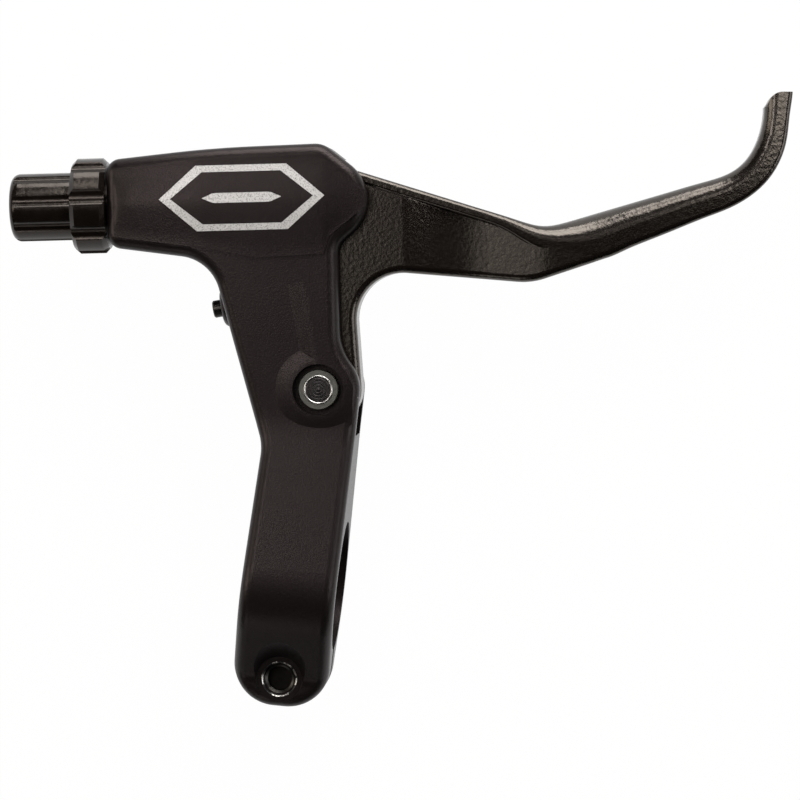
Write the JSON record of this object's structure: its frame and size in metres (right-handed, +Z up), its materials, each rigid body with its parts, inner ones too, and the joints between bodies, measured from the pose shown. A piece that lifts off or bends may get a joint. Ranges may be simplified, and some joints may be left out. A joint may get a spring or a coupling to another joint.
{
  "type": "bicycle brake lever",
  "caption": "Handlebar brake lever for a bicycle: split clamp body, hinged blade with a hooked tip, slotted barrel adjuster with lock ring, reach screw.",
  "frame": {"origin": "centre of the handlebar bore", "axes": "+X along the handlebar towards the blade's tip, +Y forward from the bar to the blade, +Z up out of the face that the picture shows"},
  "size_m": [0.1331, 0.1132, 0.0282],
  "materials": {
    "body_paint": "satin black paint on cast aluminium",
    "blade_paint": "glossy black paint with a fine orange-peel texture",
    "black_anodised": "gloss black anodised",
    "pivot_steel": "turned end, darkened",
    "nut_steel": "grey plated",
    "spring_steel": "bright drawn wire",
    "black_steel": "black oxide",
    "bush_plastic": "natural bearing plastic",
    "washer_plastic": "black bearing plastic"
  },
  "bodies": {
    "lever_body": {"lever_body": "body_paint", "clamp_bolt": "black_steel", "pivot_bolt": "pivot_steel", "pivot_nut": "nut_steel", "return_spring": "spring_steel"},
    "lever_blade": {"lever_blade": "blade_paint", "pivot_bush": "bush_plastic", "upper_thrust_washer": "washer_plastic", "lower_thrust_washer": "washer_plastic"},
    "barrel_adjuster": {"barrel_adjuster": "black_anodised"},
    "lock_ring": {"lock_ring": "black_anodised"},
    "reach_screw": {"reach_screw": "black_steel"}
  },
  "joints": [
    {"name": "lever_pivot", "type": "hinge", "parent": "lever_body", "child": "lever_blade", "pos_m": [0.00255, 0.0339, 0], "axis": [0, 0, -1], "range_deg": [0, 35], "stiffness_Nm_per_rad": 0.15, "springref_deg": -45.84, "deforming": ["return_spring"]},
    {"name": "adjuster_turn", "type": "hinge", "parent": "lever_body", "child": "barrel_adjuster", "pos_m": [-0.04287, 0.06154, 0], "axis": [-0.9936, -0.1132, 0], "continuous": true},
    {"name": "lock_ring_turn", "type": "hinge", "parent": "barrel_adjuster", "child": "lock_ring", "pos_m": [-0.03989, 0.06188, 0], "axis": [-0.9936, -0.1132, 0], "continuous": true},
    {"name": "reach_screw_turn", "type": "hinge", "parent": "lever_body", "child": "reach_screw", "pos_m": [-0.00424, 0.04933, 0], "axis": [-0.9659, -0.2588, 0], "continuous": true}
  ]
}
